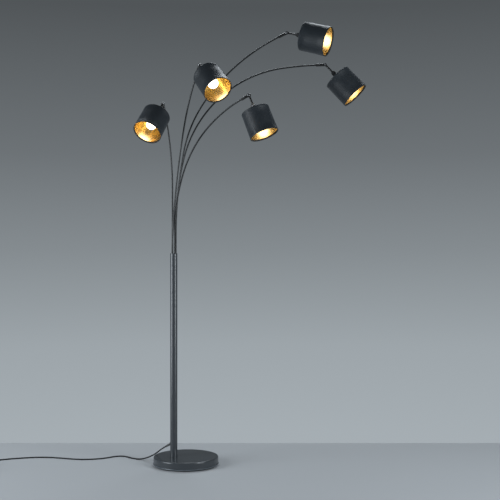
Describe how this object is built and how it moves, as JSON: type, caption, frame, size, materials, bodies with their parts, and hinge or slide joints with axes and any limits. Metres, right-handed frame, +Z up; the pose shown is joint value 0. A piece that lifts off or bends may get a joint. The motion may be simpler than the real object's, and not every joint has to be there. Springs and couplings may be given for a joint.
{
  "type": "floor lamp",
  "caption": "Tree floor lamp: weighted round base, slim post and bent arms that swivel, each with a tilting black drum shade lined in gold, and a cord with foot switch.",
  "frame": {"origin": "centre of the round base, on the floor", "axes": "+Z up along the post, +X to the right of the front view, -Y to the front"},
  "size_m": [1.6997, 0.5076, 1.9076],
  "materials": {
    "black_lacquer": "satin black powder coat",
    "edge_lacquer": "satin dark grey powder coat",
    "felt_foam": "matt foam",
    "raw_iron": "rough casting",
    "zinc_steel": "zinc plated",
    "terminal_plastic": "moulded",
    "soft_plastic": "soft sheath",
    "tie_plastic": "moulded",
    "plug_metal": "nickel plated",
    "switch_plastic": "moulded",
    "gloss_black": "gloss black",
    "chrome": "polished",
    "holder_plastic": "moulded",
    "shade_fabric": "black outside, gold foil inside",
    "opal_glass": "opal"
  },
  "bodies": {
    "stand": {"floor_pad": "felt_foam", "base_plate": "edge_lacquer", "base_screws": "zinc_steel", "counterweight": "raw_iron", "base_cover": "black_lacquer", "spacer_bush": "zinc_steel", "foot_bolt": "zinc_steel", "post_tube": "black_lacquer", "foot_plug": "zinc_steel", "terminal_block": "terminal_plastic", "cord_gland": "soft_plastic", "head_insert": "black_lacquer", "arm_retainer": "zinc_steel", "cord": "soft_plastic", "cord_coil": "soft_plastic", "cord_tie": "tie_plastic", "plug_body": "soft_plastic", "plug_pins": "plug_metal", "switch_housing": "switch_plastic"},
    "foot_button": {"switch_button": "switch_plastic"},
    "arm_left": {"arm_left": "black_lacquer", "sleeve_left": "gloss_black"},
    "link_left": {"link_left": "gloss_black", "pivot_screws_left": "chrome"},
    "head_left": {"neck_left": "gloss_black", "lampholder_left": "holder_plastic", "shade_left": "shade_fabric", "bulb_left": "opal_glass"},
    "arm_middle": {"arm_middle": "black_lacquer", "sleeve_middle": "gloss_black"},
    "link_middle": {"link_middle": "gloss_black", "pivot_screws_middle": "chrome"},
    "head_middle": {"neck_middle": "gloss_black", "lampholder_middle": "holder_plastic", "shade_middle": "shade_fabric", "bulb_middle": "opal_glass"},
    "arm_high": {"arm_high": "black_lacquer", "sleeve_high": "gloss_black"},
    "link_high": {"link_high": "gloss_black", "pivot_screws_high": "chrome"},
    "head_high": {"neck_high": "gloss_black", "lampholder_high": "holder_plastic", "shade_high": "shade_fabric", "bulb_high": "opal_glass"},
    "arm_far": {"arm_far": "black_lacquer", "sleeve_far": "gloss_black"},
    "link_far": {"link_far": "gloss_black", "pivot_screws_far": "chrome"},
    "head_far": {"neck_far": "gloss_black", "lampholder_far": "holder_plastic", "shade_far": "shade_fabric", "bulb_far": "opal_glass"},
    "arm_low": {"arm_low": "black_lacquer", "sleeve_low": "gloss_black"},
    "link_low": {"link_low": "gloss_black", "pivot_screws_low": "chrome"},
    "head_low": {"neck_low": "gloss_black", "lampholder_low": "holder_plastic", "shade_low": "shade_fabric", "bulb_low": "opal_glass"}
  },
  "joints": [
    {"name": "swivel_left", "type": "hinge", "parent": "stand", "child": "arm_left", "pos_m": [-0.0606, 0.00683, 0.905], "axis": [0, 0, 1], "range_deg": [-20, 20]},
    {"name": "tilt_left", "type": "hinge", "parent": "arm_left", "child": "link_left", "pos_m": [-0.09658, -0.06378, 1.58895], "axis": [0.891, -0.454, 0], "range_deg": [-146.2, 1.8]},
    {"name": "knuckle_left", "type": "hinge", "parent": "link_left", "child": "head_left", "pos_m": [-0.11221, -0.09447, 1.54999], "axis": [0.891, -0.454, 0], "range_deg": [-25, 25]},
    {"name": "swivel_middle", "type": "hinge", "parent": "stand", "child": "arm_middle", "pos_m": [-0.06036, -0.00706, 0.905], "axis": [0, 0, 1], "range_deg": [-10, 3]},
    {"name": "tilt_middle", "type": "hinge", "parent": "arm_middle", "child": "link_middle", "pos_m": [0.07086, -0.18766, 1.73303], "axis": [0.809, 0.5878, 0], "range_deg": [-129.8, 18.2]},
    {"name": "knuckle_middle", "type": "hinge", "parent": "link_middle", "child": "head_middle", "pos_m": [0.09339, -0.21867, 1.6979], "axis": [0.809, 0.5878, 0], "range_deg": [-25, 25]},
    {"name": "swivel_high", "type": "hinge", "parent": "stand", "child": "arm_high", "pos_m": [-0.04455, -0.00099, 0.905], "axis": [0, 0, 1], "range_deg": [-15, 2]},
    {"name": "tilt_high", "type": "hinge", "parent": "arm_high", "child": "link_high", "pos_m": [0.4406, -0.17758, 1.87039], "axis": [0.342, 0.9397, 0], "range_deg": [-67.7, 80.3]},
    {"name": "knuckle_high", "type": "hinge", "parent": "link_high", "child": "head_high", "pos_m": [0.48764, -0.1947, 1.8563], "axis": [0.342, 0.9397, 0], "range_deg": [-25, 25]},
    {"name": "swivel_far", "type": "hinge", "parent": "stand", "child": "arm_far", "pos_m": [-0.05106, 0.00903, 0.905], "axis": [0, 0, 1], "range_deg": [-1, 15]},
    {"name": "tilt_far", "type": "hinge", "parent": "arm_far", "child": "link_far", "pos_m": [0.60647, -0.13073, 1.74435], "axis": [0.2079, 0.9781, 0], "range_deg": [-76.7, 71.3]},
    {"name": "knuckle_far", "type": "hinge", "parent": "link_far", "child": "head_far", "pos_m": [0.64139, -0.13815, 1.70655], "axis": [0.2079, 0.9781, 0], "range_deg": [-25, 25]},
    {"name": "swivel_low", "type": "hinge", "parent": "stand", "child": "arm_low", "pos_m": [-0.04983, -0.00854, 0.905], "axis": [0, 0, 1], "range_deg": [-8, 8]},
    {"name": "tilt_low", "type": "hinge", "parent": "arm_low", "child": "link_low", "pos_m": [0.27926, -0.19854, 1.60339], "axis": [0.5, 0.866, 0], "range_deg": [-119.8, 28.2]},
    {"name": "knuckle_low", "type": "hinge", "parent": "link_low", "child": "head_low", "pos_m": [0.29716, -0.20888, 1.55568], "axis": [0.5, 0.866, 0], "range_deg": [-25, 25]},
    {"name": "foot_button_press", "type": "slide", "parent": "stand", "child": "foot_button", "axis": [0, 0, -1], "range_m": [0, 0.003], "stiffness_N_per_m": 900}
  ]
}
